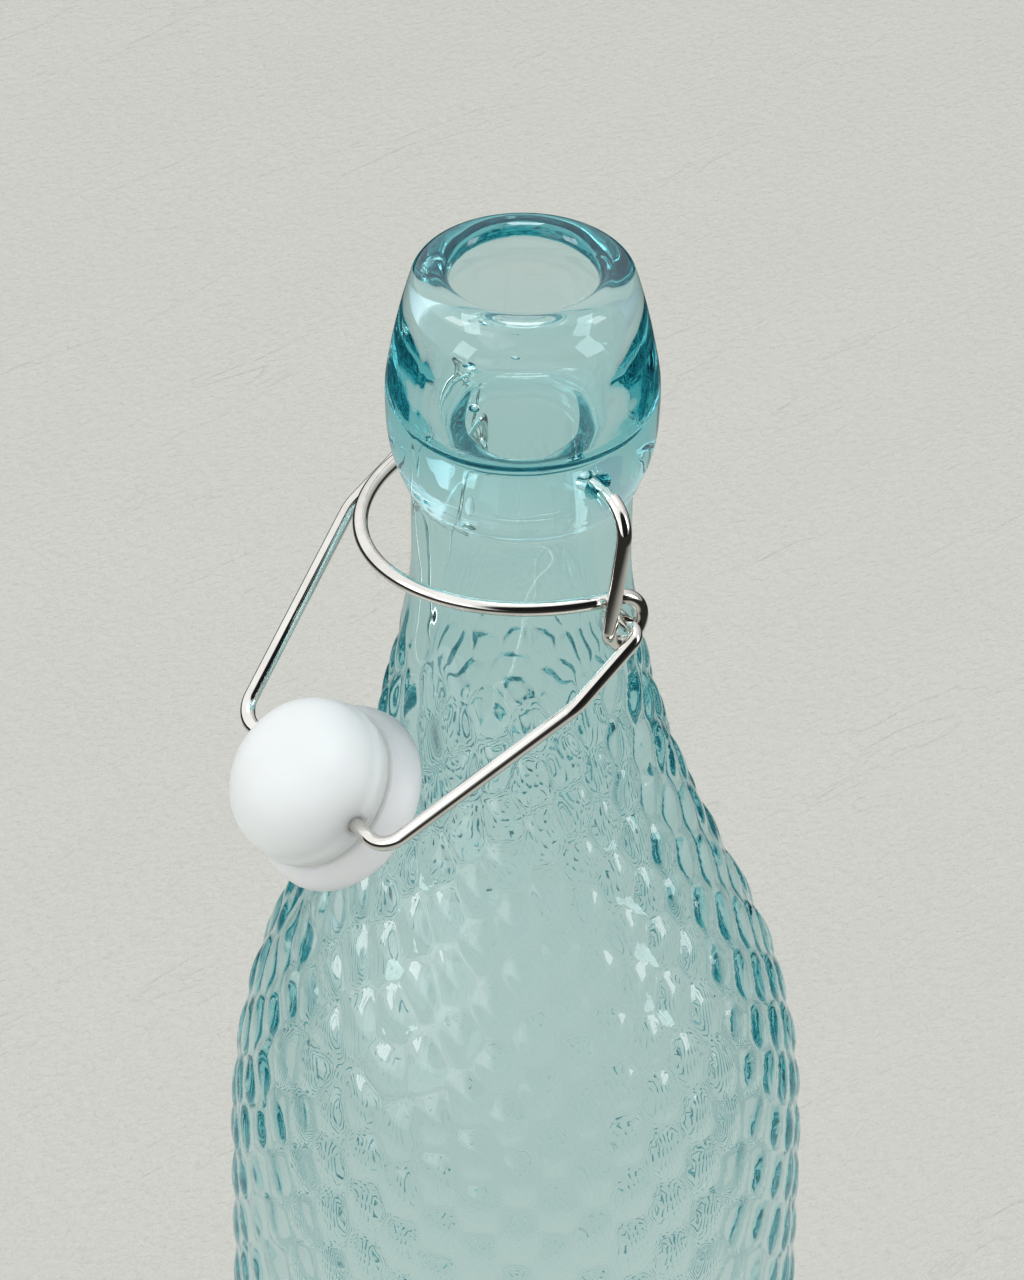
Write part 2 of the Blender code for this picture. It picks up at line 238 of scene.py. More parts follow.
def close_up() -> None:
    """Merges doubled points of the mesh in edit mode and points its faces outwards."""
    bpy.ops.mesh.select_all(action="SELECT")
    bpy.ops.mesh.remove_doubles(threshold=MERGE_DISTANCE)
    bpy.ops.mesh.normals_make_consistent(inside=False)


def smooth(piece: Piece, degrees: float) -> None:
    """Shades a piece smooth, except over edges sharper than an angle."""
    activate(piece)
    bpy.ops.object.shade_smooth_by_angle(angle=math.radians(degrees))


def turned(name: str, outline: Profile, steps: int) -> Piece:
    """A turned solid, spun from its outline round Z.

    Args:
        name: The piece's name.
        outline: The section, as radii and heights.
        steps: How many steps the spin takes.

    Returns:
        The finished solid, with its faces outwards.
    """
    mesh = bpy.data.meshes.new(name)
    points = [(radius, 0.0, height) for radius, height in outline]
    mesh.from_pydata(points, [(i, i + 1) for i in range(len(points) - 1)], [])
    piece = bpy.data.objects.new(name, mesh)
    bpy.context.scene.collection.objects.link(piece)
    activate(piece)
    bpy.ops.object.mode_set(mode="EDIT")
    bpy.ops.mesh.select_all(action="SELECT")
    bpy.ops.mesh.spin(steps=steps, angle=math.tau, center=(0, 0, 0), axis=(0, 0, 1))
    close_up()
    bpy.ops.object.mode_set(mode="OBJECT")
    bpy.ops.object.shade_smooth()
    return piece


def cross_cut(piece: Piece, radii: tuple[float, float], start: Vector, end: Vector) -> None:
    """Cuts a round hole along X, straight or tapering, out of a piece.

    Args:
        piece: The piece to cut.
        radii: The hole's radius at its start and at its end.
        start: The middle of the hole at its lower X.
        end: The middle of the hole at its higher X.
    """
    bpy.ops.object.select_all(action="DESELECT")
    bpy.ops.mesh.primitive_cone_add(
        vertices=HOLE_SIDES,
        radius1=radii[0],
        radius2=radii[1],
        depth=end.x - start.x,
        location=(start + end) / 2,
        rotation=(0, math.pi / 2, 0),
    )
    cut_away(piece, bpy.context.active_object)


def cut_away(piece: Piece, cutter: Piece) -> None:
    """Cuts one solid out of another and removes the cutter.

    Args:
        piece: The piece to cut.
        cutter: The solid to cut with.
    """
    activate(piece)
    cut = piece.modifiers.new("cut", "BOOLEAN")
    cut.object = cutter
    cut.operation = "DIFFERENCE"
    cut.solver = "EXACT"
    bpy.ops.object.modifier_apply(modifier=cut.name)
    bpy.data.objects.remove(cutter, do_unlink=True)


def wire(name: str, points: list[Vector], radius: float) -> Piece:
    """A round wire with softened ends, swept along a line.

    Args:
        name: The wire's name.
        points: The wire's centre line.
        radius: The wire's radius.

    Returns:
        The wire as a mesh.
    """
    bpy.ops.object.select_all(action="DESELECT")
    bpy.ops.curve.primitive_nurbs_path_add()
    piece = bpy.context.active_object
    piece.name = name
    curve = piece.data
    curve.splines.clear()
    spline = curve.splines.new("POLY")
    spline.points.add(len(points) - 1)
    for place, point in zip(spline.points, points):
        place.co = (*point, 1)
    spline.use_smooth = True
    curve.bevel_depth = radius
    curve.bevel_resolution = WIRE_RESOLUTION
    curve.use_fill_caps = True
    piece.location = (0, 0, 0)
    bpy.ops.object.convert(target="MESH")
    piece = bpy.context.active_object
    bpy.ops.object.mode_set(mode="EDIT")
    close_up()
    bpy.ops.mesh.select_all(action="DESELECT")
    bpy.ops.object.mode_set(mode="OBJECT")
    for face in piece.data.polygons:
        face.select = len(face.vertices) > QUAD_CORNERS
    bpy.ops.object.mode_set(mode="EDIT")
    bpy.ops.mesh.bevel(offset=WIRE_END_ROUNDING, segments=WIRE_END_SEGMENTS, affect="EDGES")
    bpy.ops.object.mode_set(mode="OBJECT")
    bpy.ops.object.shade_smooth()
    return piece


def finish_piece(piece: Piece, body: str, node: str, material: Material) -> None:
    """Dresses a piece in its material, puts it on its body, and hides the frame's node that it stands
    for.

    Args:
        piece: The finished piece.
        body: The body it moves with.
        node: The frame's node that it stands for.
        material: The piece's material.
    """
    piece.data.materials.clear()
    piece.data.materials.append(material)
    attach(piece, body)
    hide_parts(node)
    log.info("%s rides on %s: %d faces", piece.name, body, len(piece.data.polygons))


# Nodes


def set_values(node: Node, **values: object) -> None:
    """Sets a node's properties and unlinked inputs.

    Args:
        node: The node.
        values: The values by name. An input's name has _ for a space.
    """
    for key, value in values.items():
        if hasattr(node, key):
            setattr(node, key, value)
        else:
            node.inputs[key.replace("_", " ")].default_value = value


def add_node(tree: Tree, kind: str, **values: object) -> Node:
    """A new shader node.

    Args:
        tree: The tree to add it to.
        kind: The node's type, without the first words that all types share.
        values: Its properties and unlinked inputs by name, as in set_values.

    Returns:
        The new node.
    """
    node = tree.nodes.new("ShaderNode" + kind)
    set_values(node, **values)
    return node


def link(*links: tuple[Node, str | int, Node, str | int]) -> None:
    """Links nodes, each link as a node, its output's name or number, the node it feeds and the input."""
    for source, output, target, place in links:
        source.id_data.links.new(source.outputs[output], target.inputs[place])


def number(tree: Tree, operation: str, second: float = 0.5) -> Node:
    """A new Math node.

    Args:
        tree: The tree to add it to.
        operation: What it does.
        second: Its second number, where nothing feeds that input.

    Returns:
        The new node.
    """
    node = add_node(tree, "Math", operation=operation)
    node.inputs[1].default_value = second
    return node


def smooth_range(tree: Tree, low: float, high: float, **values: object) -> Node:
    """A new node that rises smoothly between two values, from 0 to 1 unless it is told otherwise."""
    values.update(interpolation_type="SMOOTHSTEP", From_Min=low, From_Max=high)
    return add_node(tree, "MapRange", **values)


def colour_mix(tree: Tree, low: Colour, high: Colour) -> Node:
    """A new node that mixes two colours.

    Args:
        tree: The tree to add it to.
        low: The colour where its share is 0.
        high: The colour where its share is 1.

    Returns:
        The new node.
    """
    mix = add_node(tree, "Mix", data_type="RGBA")
    mix.inputs[MIX_LOW].default_value = (*low, 1)
    mix.inputs[MIX_HIGH].default_value = (*high, 1)
    return mix


def mirrored(rays: Node) -> Node:
    """A mask of the rays that a surface mirrored and did not let through.

    Args:
        rays: The Light Path node.

    Returns:
        The node that gives the mask.
    """
    mask = add_node(rays.id_data, "Math", operation="SUBTRACT", use_clamp=True)
    link((rays, "Is Glossy Ray", mask, 0), (rays, "Is Transmission Ray", mask, 1))
    return mask


def emboss(source: Node, output: str, shader: Node, distance: float, strength: float) -> None:
    """Feeds a height through a bump into a shader's normal.

    Args:
        source: The node that gives the height.
        output: The name of its output.
        shader: The shader to emboss.
        distance: How deep a height of 1 is.
        strength: The bump's strength.
    """
    bump = add_node(shader.id_data, "Bump", Distance=distance, Strength=strength)
    link((source, output, bump, "Height"), (bump, "Normal", shader, "Normal"))


def new_material(name: str, **values: object) -> tuple[Material, Node, Tree]:
    """A node material with its Principled shader.

    Args:
        name: The material's name.
        values: The shader's own values by name, as in set_values.

    Returns:
        The material, its Principled shader and its node tree.
    """
    material = bpy.data.materials.new(name)
    material.use_nodes = True
    shader = material.node_tree.nodes["Principled BSDF"]
    set_values(shader, **values)
    return material, shader, material.node_tree


def surface_group() -> Tree:
    """The fine unevenness that the finishes share: a mask of marks and a height.

    Returns:
        A group with a vector, two scales, a detail and a grain share in, and a mask and a height out.
    """
    name = "fine_unevenness"
    if name in bpy.data.node_groups:
        return bpy.data.node_groups[name]
    group = bpy.data.node_groups.new(name, "ShaderNodeTree")
    group.interface.new_socket(name="Vector", in_out="INPUT", socket_type="NodeSocketVector")
    for label in GROUP_VALUES:
        group.interface.new_socket(name=label, in_out="INPUT", socket_type="NodeSocketFloat")
    for label in ("Mask", "Height"):
        group.interface.new_socket(name=label, in_out="OUTPUT", socket_type="NodeSocketFloat")
    entry = group.nodes.new("NodeGroupInput")
    leave = group.nodes.new("NodeGroupOutput")
    patches = add_node(group, "TexNoise", Roughness=0.55)
    grain = add_node(group, "TexNoise", Roughness=0.6)
    band = add_node(group, "MapRange", From_Min=0.35, From_Max=0.7)
    blend = number(group, "MULTIPLY_ADD")
    for texture, scale in ((patches, "Patch Scale"), (grain, "Grain Scale")):
        link((entry, "Vector", texture, "Vector"), (entry, scale, texture, "Scale"))
        link((entry, "Detail", texture, "Detail"))
    link(
        (entry, "Grain Share", blend, 1),
        (patches, "Fac", band, "Value"),
        (grain, "Fac", blend, 0),
        (patches, "Fac", blend, 2),
        (band, "Result", leave, "Mask"),
        (blend, "Value", leave, "Height"),
    )
    return group


def unevenness(tree: Tree, *values: float) -> Node:
    """Places the shared unevenness in a material, on Object coordinates.

    Args:
        tree: The material's tree.
        values: The values of GROUP_VALUES, in their order.

    Returns:
        The group's node.
    """
    place = add_node(tree, "TexCoord")
    node = add_node(tree, "Group", node_tree=surface_group(), **dict(zip(GROUP_VALUES, values)))
    link((place, "Object", node, "Vector"))
    return node


# Finishes


@dataclass(frozen=True)
class GlassFinish:
    """Aqua glass: nearly white at its faces, teal where light goes a long way through it."""

    face_colour: Colour = (0.92, 0.988, 0.992)
    depth_colour: Colour = (0.0, 0.745, 0.81)
    density: float = 31.0
    index: float = 1.52
    wave_scale: float = 170.0
    ripple_scale: float = 420.0
    ripple_share: float = 0.06
    wave_depth: float = 0.00012

    def material(self) -> Material:
        """The finish as a material.

        Returns:
            The new material.
        """
        values = {"Transmission_Weight": 1.0, "IOR": self.index, "Roughness": 0.0}
        material, shader, tree = new_material("aqua_glass", Base_Color=(*self.face_colour, 1), **values)
        uneven = unevenness(tree, self.wave_scale, self.ripple_scale, 0.0, self.ripple_share)
        emboss(uneven, "Height", shader, self.wave_depth, 1.0)
        depth = add_node(tree, "VolumeAbsorption", Density=self.density, Color=(*self.depth_colour, 1))
        link((depth, "Volume", tree.nodes["Material Output"], "Volume"))
        return material


@dataclass(frozen=True)
class MarkedFinish:
    """A finish whose colour and roughness go from clean to marked with the shared unevenness."""

    name: str
    values: dict[str, object]
    patch_scale: float
    grain_scale: float
    colours: tuple[Colour, Colour]
    roughness: tuple[float, float]
    depth: float
    strength: float
    detail: float = 4.0
    grain_share: float = 0.35

    def material(self) -> Material:
        """The finish as a material.

        Returns:
            The new material.
        """
        material, shader, tree = new_material(self.name, **self.values)
        uneven = unevenness(tree, self.patch_scale, self.grain_scale, self.detail, self.grain_share)
        mix = colour_mix(tree, *self.colours)
        span = add_node(tree, "MapRange", To_Min=self.roughness[0], To_Max=self.roughness[1])
        link(
            (uneven, "Mask", mix, MIX_SHARE),
            (mix, MIX_COLOUR, shader, "Base Color"),
            (uneven, "Mask", span, "Value"),
            (span, "Result", shader, "Roughness"),
        )
        emboss(uneven, "Height", shader, self.depth, self.strength)
        return material


# Bright drawn wire, with faint draw marks and dulled patches
DRAWN_STEEL = MarkedFinish(
    name="drawn_steel",
    values={"Metallic": 1.0},
    patch_scale=160.0,
    grain_scale=2600.0,
    colours=((0.80, 0.78, 0.74), (0.66, 0.64, 0.60)),
    roughness=(0.05, 0.12),
    depth=0.00001,
    strength=0.6,
)

# Matte moulded plastic that lets a little light in
WHITE_PLASTIC = MarkedFinish(
    name="white_plastic",
    values={"Subsurface_Weight": 1.0, "Subsurface_Radius": (1.0, 0.95, 0.9), "Subsurface_Scale": 0.007},
    patch_scale=110.0,
    grain_scale=2200.0,
    colours=((0.775, 0.805, 0.81), (0.75, 0.785, 0.785)),
    roughness=(0.42, 0.55),
    depth=0.00003,
    strength=0.5,
)

# Milky silicone, half clear
MILKY_SILICONE = MarkedFinish(
    name="milky_silicone",
    values={
        "IOR": 1.41,
        "Transmission_Weight": 0.08,
        "Subsurface_Weight": 1.0,
        "Subsurface_Radius": (1.0, 0.9, 0.8),
        "Subsurface_Scale": 0.008,
    },
    patch_scale=120.0,
    grain_scale=1800.0,
    colours=((0.93, 0.99, 0.925), (0.97, 0.97, 0.90)),
    roughness=(0.38, 0.532),
    depth=0.00003,
    strength=0.5,
)


@dataclass(frozen=True)
class PlasterFinish:
    """A pale plaster top with faint trowel strokes, which glows with painted light to the rays that glass
    passes on or mirrors.

    Each layer is its noise's scale, how far it is drawn out along the strokes, and its detail. Each fall
    is the two distances from the bottle's foot between which the painted glow fades, a painted fall-off
    of the light, and what is left.
    """

    colour: Colour = (0.606, 0.611, 0.565)
    stroke_colour: Colour = (0.560, 0.565, 0.522)
    roughness: float = 0.9
    gloss: float = 0.2
    stroke_turn: float = 97.5
    broad: tuple[float, float, float] = (11.0, 0.45, 5.0)
    mottle: tuple[float, float, float] = (420.0, 0.60, 3.0)
    ridge: tuple[float, float, float] = (9.0, 0.22, 4.0)
    layer_roughness: float = 0.6
    broad_band: tuple[float, float] = (0.30, 0.70)
    broad_share: float = 0.30
    mottle_share: float = 1.2
    ridge_level: float = 0.5
    ridge_width: float = 0.012
    ridge_band: tuple[float, float] = (0.48, 0.60)
    ridge_share: float = 0.25
    relief: float = 0.0016
    relief_strength: float = 0.6
    # Painted light fall-off of the floor's glow, for rays through glass and for mirrored rays
    clear_light_fall: tuple[float, float, float] = (0.35, 1.60, 0.96)
    gloss_light_fall: tuple[float, float, float] = (0.26, 0.58, 0.05)

    def layer(self, place: Node, scale: float, stretch: float, detail: float) -> Node:
        """One layer of noise, drawn out along the trowel's strokes.

        Args:
            place: The node that gives the place.
            scale: The noise's scale across the strokes.
            stretch: How far it is drawn out along them.
            detail: The noise's detail.

        Returns:
            The noise node.
        """
        tree = place.id_data
        rotation = (0, 0, math.radians(self.stroke_turn))
        size = (1.0, stretch, 1.0)
        turn = add_node(tree, "Mapping", vector_type="TEXTURE", Rotation=rotation, Scale=size)
        rough = self.layer_roughness
        texture = add_node(tree, "TexNoise", Scale=scale, Detail=detail, Roughness=rough)
        link((place, "Object", turn, "Vector"), (turn, "Vector", texture, "Vector"))
        return texture

    def strokes(self, place: Node) -> Node:
        """The broad strokes, their mottle and the fine ridges in one value.

        Args:
            place: The node that gives the place.

        Returns:
            The node that gives the value.
        """
        tree = place.id_data
        layers = (self.broad, self.mottle, self.ridge)
        broad, mottle, ridge = (self.layer(place, *values) for values in layers)
        low, high = self.broad_band
        band = add_node(tree, "MapRange", From_Min=low, From_Max=high, To_Max=self.broad_share)
        low, high = self.ridge_band
        here = add_node(tree, "MapRange", From_Min=low, From_Max=high)
        line = add_node(tree, "MapRange", From_Max=self.ridge_width, To_Min=1.0, To_Max=0.0)
        off = number(tree, "SUBTRACT", self.ridge_level)
        size = number(tree, "ABSOLUTE")
        marks = number(tree, "MULTIPLY")
        blend = number(tree, "MULTIPLY_ADD", self.mottle_share)
        total = number(tree, "MULTIPLY_ADD", -self.ridge_share)
        link(
            (broad, "Fac", band, "Value"),
            (broad, "Fac", here, "Value"),
            (ridge, "Fac", off, 0),
            (off, "Value", size, 0),
            (size, "Value", line, "Value"),
            (line, "Result", marks, 0),
            (here, "Result", marks, 1),
            (mottle, "Fac", blend, 0),
            (band, "Result", blend, 2),
            (marks, "Value", total, 0),
            (blend, "Value", total, 2),
        )
        return total

    def paint_floor_light(self, place: Node, mix: Node, shader: Node) -> None:
        """Paints the plaster's light as a glow for the rays that glass passes on or mirrors, fading away
        from the bottle as painted light fall-off.

        Args:
            place: The node that gives the place.
            mix: The node that gives the plaster's colour.
            shader: The shader that all other rays see.
        """
        tree = place.id_data
        rays = add_node(tree, "LightPath")
        span = add_node(tree, "VectorMath", operation="LENGTH")
        level = add_node(tree, "Mix", data_type="FLOAT")
        # Painted light: a glow in the plaster's colour stands in for the lit floor, without the bottle's
        # shadow
        glow = add_node(tree, "Emission")
        seen = number(tree, "MAXIMUM")
        choice = add_node(tree, "MixShader")
        # Painted light fall-off: the glow dims with distance from the bottle's foot
        for socket, (near, far, end) in zip(MIX_NUMBERS, (self.clear_light_fall, self.gloss_light_fall)):
            fall = smooth_range(tree, near, far, To_Min=1.0, To_Max=end)
            link((span, "Value", fall, "Value"), (fall, "Result", level, socket))
        link(
            (place, "Object", span, 0),
            (mirrored(rays), "Value", level, MIX_SHARE),
            (level, MIX_NUMBER, glow, "Strength"),
            (mix, MIX_COLOUR, glow, "Color"),
            (rays, "Is Glossy Ray", seen, 0),
            (rays, "Is Transmission Ray", seen, 1),
            (seen, "Value", choice, "Fac"),
            (shader, "BSDF", choice, 1),
            (glow, "Emission", choice, 2),
            (choice, "Shader", tree.nodes["Material Output"], "Surface"),
        )

    def material(self) -> Material:
        """The finish as a material.

        Returns:
            The new material.
        """
        values = {"Roughness": self.roughness, "Specular_IOR_Level": self.gloss}
        material, shader, tree = new_material("pale_plaster", **values)
        place = add_node(tree, "TexCoord")
        total = self.strokes(place)
        mix = colour_mix(tree, self.stroke_colour, self.colour)
        link((total, "Value", mix, MIX_SHARE), (mix, MIX_COLOUR, shader, "Base Color"))
        emboss(total, "Value", shader, self.relief, self.relief_strength)
        self.paint_floor_light(place, mix, shader)
        return material


# The bottle


@dataclass
class GlassBottle:
    """The glass: a plain finish and neck over a shoulder and body of small raised cells."""

    height: float = 0.3130
    body_radius: float = 0.0430
    body_wall: float = 0.0032
    base_thickness: float = 0.0060
    floor_crown: float = 0.0030
    heel_radius: float = 0.0080
    inner_heel_radius: float = 0.0090
    shoulder_height: float = 0.0982
    shoulder_slope: float = 0.19
    shoulder_top_share: float = 0.550
    shoulder_low_share: float = 0.461
    neck_foot_depth: float = 0.0567
    neck_foot_radius: float = 0.0166
    neck_foot_wall: float = 0.0050
    waist_depth: float = 0.0400
    waist_radius: float = 0.0156
    neck_handle_share: float = 0.45
    finish_foot_depth: float = 0.0340
    finish_foot_radius: float = 0.0165
    finish_foot_slope: float = 0.47
    finish_radius: float = 0.0192
    bulge_depth: float = 0.0188
    finish_top_slope: float = 0.32
    finish_top_shares: tuple[float, float] = (0.36, 0.10)
    finish_foot_shares: tuple[float, float] = (0.52, 0.32)
    rim_radius: float = 0.0158
    rim_rounding: float = 0.0026
    mouth_radius: float = 0.0103
    mouth_rounding: float = 0.0022
    widening_shares: tuple[float, float] = (0.25, 0.55)
    belly_radius: float = 0.0136
    belly_depth: float = 0.0105
    belly_foot_depth: float = 0.0192
    ledge_shares: tuple[float, float, float] = (0.78, 0.32, 0.12)
    throat_depth: float = 0.0262
    throat_radius: float = 0.0086
    throat_rounding: float = 0.0008
    throat_start_degrees: float = 110.0
    throat_shares: tuple[float, float] = (0.16, 0.3)
    pivot_depth: float = 0.0259
    socket_depth: float = 0.0050
    socket_radius: float = 0.00145
    flare_radius: float = 0.0023
    flare_depth: float = 0.0011
    flare_overrun: float = 0.0020
    cells_low: float = 0.0090
    cells_high: float = 0.2545
    cells_foot: float = 0.0005
    cell_fade: float = 0.0070
    cell_fade_power: float = 0.8
    cell_pitch_neck: float = 0.0058
    cell_pitch_body: float = 0.0070
    cell_jitter: float = 0.16
    cell_height: float = 0.00088
    cell_power: float = 2.8
    cell_stretch: float = 1.32
    evening_rounds: int = 2
    evening_samples: int = 40000
    snap_reach: float = 0.00050
    smoothing: int = 2
    smoothing_factor: float = 0.5
    seam_height: float = 0.00008
    seam_width: float = 0.00045
    ring_height: float = 0.00022
    ring_width: float = 0.00055
    ring_reach: float = 4.0
    ring_wander: float = 0.0009
    ring_wander_scale: float = 240.0
    inner_wave: float = 0.00022
    inner_wave_scale: float = 95.0
    inner_wave_foot: float = 0.0090
    inner_wave_depth: float = 0.0040
    sides: int = 264
    crease_degrees: float = 50.0
    cell_spacing: float = 0.00102
    base_spacing: float = 0.006
    wall_spacing: float = 0.018
    seed: int = 11
    finish: GlassFinish = field(default_factory=GlassFinish)

    def shoulder_curve(self, top_radius: float, low_radius: float) -> Profile:
        """The shoulder's curve from the neck's foot down, as an end, two handles and an end.

        Args:
            top_radius: The radius at the neck's foot.
            low_radius: The radius at the body.

        Returns:
            The first four arguments of bezier, which make the same curve from below when reversed.
        """
        top = self.height - self.neck_foot_depth
        length = self.shoulder_height * self.shoulder_top_share
        leave = (length * self.shoulder_slope, -length)
        arrive = (0, self.shoulder_height * self.shoulder_low_share)
        return [(top_radius, top), leave, arrive, (low_radius, top - self.shoulder_height)]

    def textured_outline(self) -> Profile:
        """The outside from the middle of the base up to the neck's foot.

        Returns:
            The points, each a radius and a height.
        """
        heel_place = (self.body_radius - self.heel_radius, self.heel_radius)
        heel = arc(heel_place, self.heel_radius, -90, 0, steps=12)
        curve = self.shoulder_curve(self.neck_foot_radius, self.body_radius)[::-1]
        wall = resampled([heel[-1], curve[0], *bezier(*curve, steps=80)], self.cell_spacing)
        base = resampled([(0.0, 0.0), heel[0]], self.base_spacing)
        return [*base, *heel[1:], *wall[1:]]

    def plain_outline(self) -> Profile:
        """The outside above the neck's foot, up to the flat of the rim.

        Returns:
            The points, each a radius and a height.
        """
        foot = (self.neck_foot_radius, self.height - self.neck_foot_depth)
        waist = (self.waist_radius, self.height - self.waist_depth)
        finish_foot = (self.finish_foot_radius, self.height - self.finish_foot_depth)
        bulge = (self.finish_radius, self.height - self.bulge_depth)
        rim_centre = (self.rim_radius - self.rim_rounding, self.height - self.rim_rounding)
        rim_start = math.degrees(math.atan(self.finish_top_slope))
        rim = arc(rim_centre, self.rim_rounding, rim_start, 90, steps=11)
        handle = (waist[1] - foot[1]) * self.neck_handle_share
        neck = bezier(foot, (-handle * self.shoulder_slope, handle), (0, -handle), waist, steps=6)
        leave = (0, (finish_foot[1] - waist[1]) * self.neck_handle_share)
        arrive = (self.waist_radius - self.finish_foot_radius, 0)
        crease = bezier(waist, leave, arrive, finish_foot, steps=14)
        span = bulge[1] - finish_foot[1]
        drop, rise = (span * share for share in self.finish_foot_shares)
        leave = (rise * self.finish_foot_slope, rise)
        lower = bezier(finish_foot, leave, (0, -drop), bulge, steps=16)
        span = rim[0][1] - bulge[1]
        drop, rise = (span * share for share in self.finish_top_shares)
        arrive = (drop * self.finish_top_slope, -drop)
        upper = bezier(bulge, (0, rise), arrive, rim[0], steps=10)
        return [*neck, *crease, *lower, *upper, *rim[1:]]

    def bore_outline(self) -> Profile:
        """The inside of the finish, from the mouth's rounded edge down to the throat.

        Returns:
            The points, each a radius and a height.
        """
        mouth_place = (self.mouth_radius + self.mouth_rounding, self.height - self.mouth_rounding)
        mouth = arc(mouth_place, self.mouth_rounding, 90, 180, steps=6)
        belly = (self.belly_radius, self.height - self.belly_depth)
        belly_foot = (self.belly_radius, self.height - self.belly_foot_depth)
        edge_place = (self.throat_radius + self.throat_rounding, self.height - self.throat_depth)
        edge = arc(edge_place, self.throat_rounding, self.throat_start_degrees, 180, steps=5)
        span = mouth[-1][1] - belly[1]
        drop, rise = (span * share for share in self.widening_shares)
        widening = bezier(mouth[-1], (0, -drop), (0, rise), belly, steps=9)
        span = belly_foot[1] - edge[0][1]
        drop, out, rise = (span * share for share in self.ledge_shares)
        ledge = bezier(belly_foot, (0, -drop), (out, rise), edge[0], steps=11)
        return [*mouth, *widening, *ledge, *edge[1:]]

    def inner_outline(self) -> Profile:
        """The inside, from the mouth's rounded edge down to the middle of the floor.

        Returns:
            The points, each a radius and a height.
        """
        bore = self.bore_outline()
        throat = bore[-1]
        inner_radius = self.body_radius - self.body_wall
        curve = self.shoulder_curve(self.neck_foot_radius - self.neck_foot_wall, inner_radius)
        foot = curve[0]
        handle = (throat[1] - foot[1]) * self.neck_handle_share
        out, drop = (handle * share for share in self.throat_shares)
        neck = bezier(throat, (out, -drop), (-handle * self.shoulder_slope, handle), foot, steps=14)
        shoulder = bezier(*curve, steps=16)
        heel_place = (inner_radius - self.inner_heel_radius, self.base_thickness + self.inner_heel_radius)
        heel = arc(heel_place, self.inner_heel_radius, 0, -90, steps=6)
        middle = (0.0, self.base_thickness + self.floor_crown)
        half = heel[-1][0] / 2
        floor = bezier(heel[-1], (-half, 0), (half, 0), middle, steps=5)
        wall = resampled([shoulder[-1], heel[0]], self.wall_spacing)
        return [*bore, *neck, *shoulder, *wall[1:], *heel[1:], *floor]

    def cell_centres(self) -> np.ndarray:
        """Evened-out centres of the raised cells, as points whose heights are shrunk by the stretch.

        Returns:
            The centres, one to a row.
        """
        draw = np.random.default_rng(self.seed)
        outline = np.array([p for p in self.textured_outline() if p[1] > self.cells_foot])
        run = distances(outline)
        swing = self.cell_jitter
        centres = []
        place = 0.0
        row = 0
        while place < run[-1]:
            radius, level = on_line(outline, run, place)
            share = (radius - self.neck_foot_radius) / (self.body_radius - self.neck_foot_radius)
            pitch = self.cell_pitch_neck + (self.cell_pitch_body - self.cell_pitch_neck) * share
            count = round(math.tau * radius / (pitch * math.sqrt(3)))
            turns = (np.arange(count) + 0.5 * (row % 2) + draw.uniform(-swing, swing, count) / 2) / count
            levels = level + draw.uniform(-swing, swing, count) * pitch
            for turn, height in zip(turns, levels):
                angle = turn * math.tau
                at = (radius * math.cos(angle), radius * math.sin(angle), height / self.cell_stretch)
                centres.append(at)
            place += pitch * self.cell_stretch / 2
            row += 1
        return self.evened(np.array(centres), outline, run, draw)

    def evened(
        self, centres: np.ndarray, outline: np.ndarray, run: np.ndarray, draw: np.random.Generator
    ) -> np.ndarray:
        """Moves each centre towards the middle of its own cell, keeping the cells a little unlike.

        Args:
            centres: The first centres.
            outline: The outside's outline.
            run: How far along the outline each of its points is.
            draw: The source of the sample points.

        Returns:
            The evened centres.
        """
        places = draw.uniform(0, run[-1], self.evening_samples)
        radius, level = on_line(outline, run, places)
        keep = draw.uniform(0, self.body_radius, len(places)) < radius
        angle = draw.uniform(0, math.tau, len(places))
        level = level / self.cell_stretch
        samples = np.stack([radius * np.cos(angle), radius * np.sin(angle), level], 1)[keep]
        for _ in range(self.evening_rounds):
            tree = search_tree(centres)
            owner = np.array([tree.find(point)[1] for point in samples])
            counts = np.bincount(owner, minlength=len(centres))[:, None]
            sums = np.stack([np.bincount(owner, samples[:, i], len(centres)) for i in range(3)], 1)
            centres = np.where(counts == 0, centres, sums / np.maximum(counts, 1))
        return centres

    def sink_lines(self, place: np.ndarray, fade: np.ndarray) -> np.ndarray:
        """Sinks the lines between the cells, and draws the points near a line onto it.

        Args:
            place: All points' places, which change near a line.
            fade: How fully the cells show at each point.

        Returns:
            How far each point moves outwards.
        """
        tree = search_tree(self.cell_centres())
        shrink = np.array([1, 1, 1 / self.cell_stretch])
        move = np.zeros(len(place))
        for index in np.nonzero(fade)[0]:
            at = place[index] * shrink
            (own, _, _), (other, _, _) = tree.find_n(at, 2)
            across = np.array(other - own)
            apart = np.linalg.norm(across)
            across /= apart
            short = apart / 2 - (at - np.array(own)) @ across
            if short < self.snap_reach:
                at = at + across * short
                place[index] = at / shrink
            first, second = (np.linalg.norm(at - np.array(site)) for site in (own, other))
            share = min(1.0, 2 * first / (first + second))
            move[index] = -self.cell_height * fade[index] * share**self.cell_power
        return move

    def seams(self, place: np.ndarray) -> np.ndarray:
        """How far the two mould seams of the finish and neck stand out.

        Args:
            place: The points' places.

        Returns:
            A height for each point.
        """
        level = place[:, 2]
        angle = np.arctan2(place[:, 1], place[:, 0])
        foot = self.height - self.neck_foot_depth
        above = np.clip((level - foot) / self.cell_fade, 0, 1)
        above *= np.clip((self.height - self.rim_rounding - level) / self.rim_rounding, 0, 1)
        lift = np.zeros(len(place))
        for seam in SEAM_ANGLES:
            off = np.angle(np.exp(1j * (angle - seam))) * np.hypot(place[:, 0], place[:, 1])
            lift += above * self.seam_height * np.exp(-((off / self.seam_width) ** 2))
        return lift

